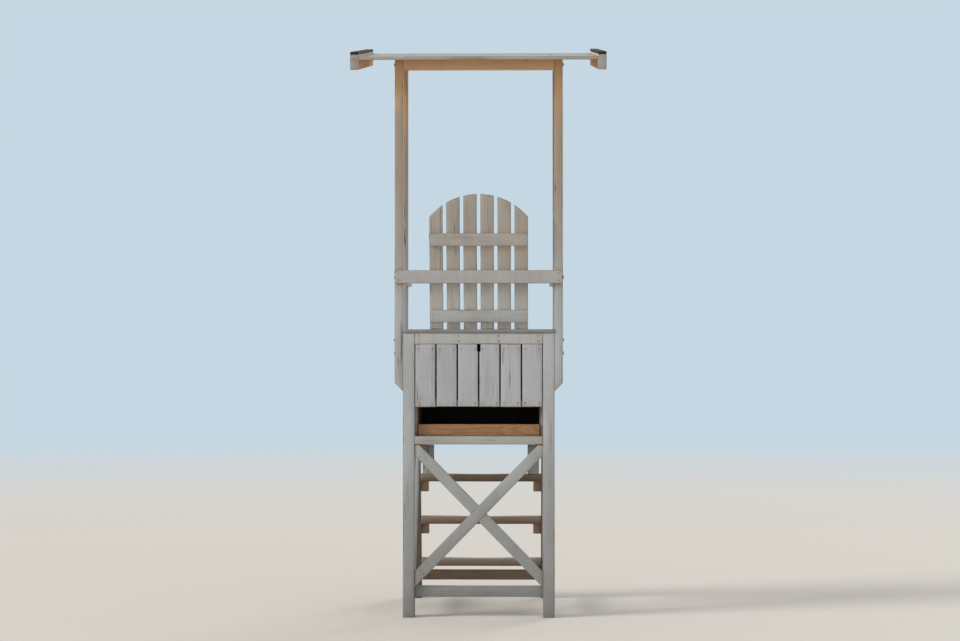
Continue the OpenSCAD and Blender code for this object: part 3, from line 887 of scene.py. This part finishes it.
back_slats = []
for start, end in shares(back_low.x, back_high.x, 6, slat_gap):
    x = (start + end) / 2
    middle = (arch_top + arch_foot) / 2
    slat = timber(pivot + Vector((x, 0, 0)) + middle * up_back + slat_thickness / 2 * off_back, up_back,
                  (1, 0, 0), [(arch_top - arch_foot) / 2, (end - start) / 2, slat_thickness / 2])
    slat["low"] = [plane_cut(slat, (0, 0, seat_top), (0, 0, 1))]
    slat["high"] = [lambda b, c, x=x, middle=middle:
                    arch_top - middle - arch_radius + np.sqrt(arch_radius ** 2 - (x + b) ** 2)]
    nailed(slat, [place - middle for place in batten_places], gap=0.022)
    back_slats.append(slat)
build("back_slats", back_slats, slat_paint, spacing=0.035)
nail_heads("back", back_slats)

for name, place in zip(("back_lower_batten", "back_upper_batten"), batten_places):
    batten = timber(pivot + place * up_back - slat_thickness / 2 * off_back, (1, 0, 0), up_back,
                    [back_high.x, batten_width / 2, slat_thickness / 2])
    build(name, [batten], batten_paint)

# Guard rails
# Boards of 79 by 22 mm on edge, one across the rear posts and one along each side inside the
# posts. They keep the sitter in and serve as arms.
guard_paint = painted("guard_paint", (0.47, 0.45, 0.43), 0.07)
guard_thickness = 0.022
rear_guard = block(*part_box("rear_guard_rail"), 0)
nailed(rear_guard, [-0.48, 0.48], gap=0.02)
build("rear_guard_rail", [rear_guard], guard_paint)
build_pair("side_guard_rails", guard_thickness, guard_paint)
nail_heads("rear_guard", [rear_guard])

# Roof posts
# Four posts, 50 by 90 mm, bolted flat against the outer faces of the legs. Their feet are cut to
# a slant that sheds water. Higher up the paint turns tan, and under the roof it is a brighter
# tan, painted light that offsets the roof's shade.
# Above 2.9 m the tan is brighter: painted light that offsets the roof's shade.
post_paint = painted("post_paint", (0.44, 0.455, 0.46), 0.10,
                     steps=[(1.6, 2.8, (0.385, 0.28, 0.19)), (2.9, 3.2, (0.62, 0.36, 0.165))])
post_foot_cut = 0.050
roof_slope = radians(9.3)
up_slope = Vector((0, cos(roof_slope), sin(roof_slope)))
off_slope = Vector((0, -sin(roof_slope), cos(roof_slope)))
post_low, post_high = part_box("rear_post_right")
post_width = post_high.x - post_low.x
roof_edge = Vector((0, rear_face, post_high.z - (post_high.y - post_low.y) * tan(roof_slope)))
bolt_spots = ((1.585, 0.018), (1.665, -0.012), (rear_guard["middle"].z, 0.012), (3.325, 0.0))

bolt_places, bolt_facing = [], []
for place in ("rear", "front"):
    for side, sign in both_sides:
        name = f"{place}_post_{side}"
        low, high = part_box(name)
        post = block(low, high, 2)
        slant = (-sign * post_foot_cut, 0, post_width)
        inner_foot = (sign * post_low.x, 0, post_low.z)
        post["low"] = [plane_cut(post, inner_foot, slant)]
        post["high"] = [plane_cut(post, roof_edge, off_slope)]
        build(name, [post], post_paint)
        for z, shift in bolt_spots:
            bolt_places.append((sign * post_high.x, (low.y + high.y) / 2 + shift, z))
            bolt_facing.append((sign, 0, 0))
fasteners("post_bolts", bolt_head, bolt_places, bolt_facing)

# Headers and bearers
# A header joins each pair of posts under the roof, planed to its slope on top. Two bearers run
# forward from the rear one, inside the posts, and carry the boards. All are bare pine, which the
# roof keeps dry, in a bright tan that is partly painted light bounced up under the roof.
# The pine's bright tan is partly its own colour and partly painted light bounced up under the roof.
pine = plain_timber("pine", (0.80, 0.50, 0.265), (0.64, 0.37, 0.175), (0.64, 0.44, 0.28), 0.2, dirt=0.1)
header_height = 0.062
roof_bearer_width = 0.045


def sloped_top(piece):
    """Trim that raises a header's top towards the front: the rise grows in step with the distance
    from the rear face, all of it at the top and none at the bottom."""
    half = piece["half"]
    return lambda a, b, c: (a, b + (b + half[1]) / (2 * half[1]) * tan(roof_slope) * (half[2] - c), c)


for name in ("rear_header", "front_header"):
    low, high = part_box(name)
    header = block(low, (high.x, high.y, low.z + header_height), 0)
    header["trims"] = [sloped_top(header)]
    build(name, [header], pine)

low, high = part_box("roof_bearers")
header_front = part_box("rear_header")[1]
bearer_start = (header_front.y - rear_face) / cos(roof_slope)
bearer_end = (high.z - roof_edge.z) / sin(roof_slope)
roof_bearer_x = high.x - roof_bearer_width / 2
roof_bearers = []
for x in (-roof_bearer_x, roof_bearer_x):
    middle = roof_edge + (bearer_start + bearer_end) / 2 * up_slope - header_height / 2 * off_slope
    bearer = timber(middle + Vector((x, 0, 0)), up_slope, off_slope,
                    [(bearer_end - bearer_start) / 2, header_height / 2, roof_bearer_width / 2])
    bearer["low"] = [plane_cut(bearer, header_front, (0, 1, 0))]
    roof_bearers.append(bearer)
build("roof_bearers", roof_bearers, pine)

# Roof
# Nine thin boards laid across the bearers with narrow gaps, held at their ends by two side
# beams that are nailed to them. The beams' top edges are capped with strips of black rubber, and
# the undersides of the boards and the inner faces of the beams are bare. The beams' inner faces
# are a bright tan, partly painted light that offsets their shade.
roof_paint = painted("roof_paint", (0.45, 0.41, 0.37), 0.20, raw=(0.55, 0.36, 0.20))
# The beams' bare inner faces are a bright tan, partly painted light that offsets their shade.
beam_paint = painted("beam_paint", (0.41, 0.395, 0.37), 0.14, raw=(0.76, 0.47, 0.26))
roof_gap = 0.004
beam_width = 0.05
beam_height = 0.09
strip_thickness = 0.016
rubber_black = (0.013, 0.013, 0.014)
rubber_faded = (0.030, 0.028, 0.026)
rubber_grit = (0.09, 0.085, 0.078)

beam_low, beam_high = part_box("roof_beam_right")
beam_length = ((beam_high.z - beam_low.z) - beam_height * cos(roof_slope)) / sin(roof_slope)
beam_foot = Vector((0, beam_low.y + beam_height * sin(roof_slope), beam_low.z))
roof_back = (roof_edge - beam_foot).dot(up_slope)
roof_front = beam_length - roof_back
beam_floor = (beam_foot - roof_edge).dot(off_slope)

roof_boards = []
for start, end in shares(-roof_back, roof_front, 9, roof_gap):
    middle = roof_edge + (start + end) / 2 * up_slope + board_thickness / 2 * off_slope
    board = timber(middle, (1, 0, 0), up_slope,
                   [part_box("roof_boards")[1].x, (end - start) / 2, board_thickness / 2])
    nailed(board, [-roof_bearer_x, roof_bearer_x], gap=0.04)
    roof_boards.append(mark_face(board, 2, -1))
build("roof_boards", roof_boards, roof_paint)

strips, beams = [], []
for side, sign in both_sides:
    x = sign * (beam_high.x - beam_width / 2)
    along = roof_edge + (roof_front - roof_back) / 2 * up_slope + Vector((x, 0, 0))
    beam = timber(along + (beam_floor + beam_height / 2) * off_slope, up_slope, off_slope,
                  [beam_length / 2, beam_height / 2, beam_width / 2])
    nailed(beam, np.linspace(-0.56, 0.56, 5), gap=0.017, face=sign)
    build("roof_beam_" + side, [mark_face(beam, 2, -sign)], beam_paint)
    beams.append(beam)
    strip = timber(along + (beam_floor + beam_height + strip_thickness / 2) * off_slope, up_slope,
                   (-1, 0, 0), [beam_length / 2, beam_width / 2, strip_thickness / 2])
    nailed(strip, np.linspace(-0.6, 0.6, 9), gap=0.012)
    strip["uneven"] = 2.0
    strips.append(strip)
nail_heads("roof", [*roof_boards, *beams, *strips])

rubber, tree = new_material("black_rubber")
where = put(tree, "TexCoord").outputs["Object"]
grit = noise(tree, where, 900.0, 3.0, 0.7)
patches = noise(tree, where, 14.0, 4.0, 0.6)
black = tint(tree, fade(tree, patches, 0.35, 0.7), rubber_black, rubber_faded)
black = tint(tree, fade(tree, grit, 0.5, 0.75), black, rubber_grit, 0.4)
finish(rubber, black, fade(tree, grit, 0.3, 0.7, 0.75, 0.95), grit, 0.6)
build("roof_edge_strips", strips, rubber, spacing=0.03)

# Ladder
# Three planks, 120 by 45 mm with planed edges, rest between the front legs on short cleats over
# the front bottom rail. Two uprights on the top tread carry the footrest. Wet and sandy feet have
# taken off the paint, and the tops are painted paler, as painted light from above.
tread_timber = plain_timber("tread_timber", (0.18, 0.095, 0.045), (0.108, 0.052, 0.023),
                            (0.158, 0.097, 0.055), 0.6, lit_top_colour=(0.42, 0.335, 0.25))
cleat_timber = plain_timber("cleat_timber", (0.49, 0.32, 0.21), (0.31, 0.185, 0.115),
                            (0.36, 0.275, 0.20), 0.5)
tread_width = 0.12
tread_dip = 0.004
tread_dip_length = 0.17
cleat_width = 0.05
cleat_height = 0.068
cleat_gap = 0.003
upright_width = 0.072


def trodden(a, b, c):
    """Hollow worn into a tread: the top sinks most at the middle of its length and towards the
    front edge, as a bell curve along it and a straight ramp across it."""
    dip = tread_dip * np.exp(-(a / tread_dip_length) ** 2) * np.clip(0.5 + b / tread_width, 0, 1)
    return a, b, np.where(c > 0, c - dip, c)


low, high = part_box("front_bottom_rail")
rail = timber((low + high) / 2, (1, 0, 0), (0, -tan(leg_rake), 1),
              [high.x, (high.z - low.z) / 2, rail_thickness / 2], through=(0, -1, 0))
build("front_bottom_rail", [rail], tread_timber)

cleats, ladder = [], []
cleat_low, cleat_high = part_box("tread_cleats")
behind = Vector((0, rail_thickness + cleat_gap, 0))
for number in (1, 2, 3):
    low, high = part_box(f"tread_{number}")
    tread = block(low, high, 0)
    tread["ease"] = 0.006
    tread["trims"] = [trodden]
    nailed(tread, [-0.36, 0.36])
    ladder.append(mark_face(tread, 2, 1, reach=0.012))
    build(f"tread_{number}", [tread], tread_timber, spacing=0.03)
    cleat_middle = low.z - cleat_height / 2
    back = leg_back[0].y + (leg_back[0].z - cleat_middle) * tan(leg_rake) + behind.y
    front = leg_front[0].y - cleat_middle * tan(leg_rake)
    for ends in pair(Vector((cleat_low.x, back, low.z - cleat_height)),
                     Vector((cleat_high.x, front, low.z)), cleat_width):
        cleat = block(*ends, 1)
        cleat["low"] = [plane_cut(cleat, leg_back[0] + behind, raked)]
        cleat["high"] = [plane_cut(cleat, *leg_front)]
        cleats.append(cleat)
build("tread_cleats", cleats, cleat_timber)

build_pair("footrest_uprights", upright_width, brace_paint, grain_axis=2)
footrest = boards("footrest", 1, 2, board_gap, 0)
for board in footrest:
    nailed(board, [-0.365, 0.365], gap=0.04)
    mark_face(board, 2, 1, reach=0.012)
build("footrest", footrest, tread_timber, spacing=0.035)
nail_heads("ladder", [*ladder, *footrest])

# Studio
# A plain floor the colour of dry sand runs back into a pale sky-blue backdrop. Even, soft light
# shines along the rear from the upper left and more weakly on the front, over an even fill.
backdrop = (0.56, 0.68, 0.765)
floor_colour = (0.66, 0.615, 0.55)
floor_reach = 80.0
floor_fades_from = 5
floor_fades_to = 26
corners = floor_reach * np.array([(-1, -1, 0), (1, -1, 0), (1, 1, 0), (-1, 1, 0)])
floor_mesh = bpy.data.meshes.new("floor")
floor_mesh.from_pydata(corners, [], [(0, 1, 2, 3)])
floor = bpy.data.objects.new("floor", floor_mesh)
scene.collection.objects.link(floor)
floor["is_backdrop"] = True
floor_material, tree = new_material("floor")
where = put(tree, "TexCoord").outputs["Object"]
away = put(tree, "VectorMath", where, operation="LENGTH").outputs["Value"]
ground = put(tree, "BsdfPrincipled", floor_colour, None, 0.9)
far_off = put(tree, "Emission", backdrop, 1.0)
shown = put(tree, "MixShader", fade(tree, away, floor_fades_from, floor_fades_to),
            ground.outputs[0], far_off.outputs[0])
put(tree, "OutputMaterial", shown.outputs[0])
floor.data.materials.append(floor_material)

fill_strength = 0.62
scene.world = bpy.data.worlds.new("studio")
scene.world.use_nodes = True
tree = scene.world.node_tree
tree.nodes.clear()
seen = put(tree, "LightPath").outputs
shown = reckon(tree, "MAXIMUM", seen["Is Camera Ray"], seen["Is Glossy Ray"])
shown = reckon(tree, "MAXIMUM", shown, seen["Is Transmission Ray"])
fill = put(tree, "Background", (1, 1, 1), fill_strength)
sky = put(tree, "Background", backdrop, 1.0)
both = put(tree, "MixShader", shown, fill.outputs[0], sky.outputs[0])
put(tree, "OutputWorld", both.outputs[0])

lamp_spread = radians(20)
for name, strength, course in (("key", 2.25, (17, 6, -8.8)), ("front_lamp", 0.79, (-10, -16, -6.8))):
    lamp = bpy.data.objects.new(name, bpy.data.lights.new(name, "SUN"))
    lamp.data.energy = strength
    lamp.data.angle = lamp_spread
    lamp.rotation_euler = Vector(course).to_track_quat("-Z", "Y").to_euler()
    scene.collection.objects.link(lamp)
scene.view_settings.view_transform = "Standard"

low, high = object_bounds()
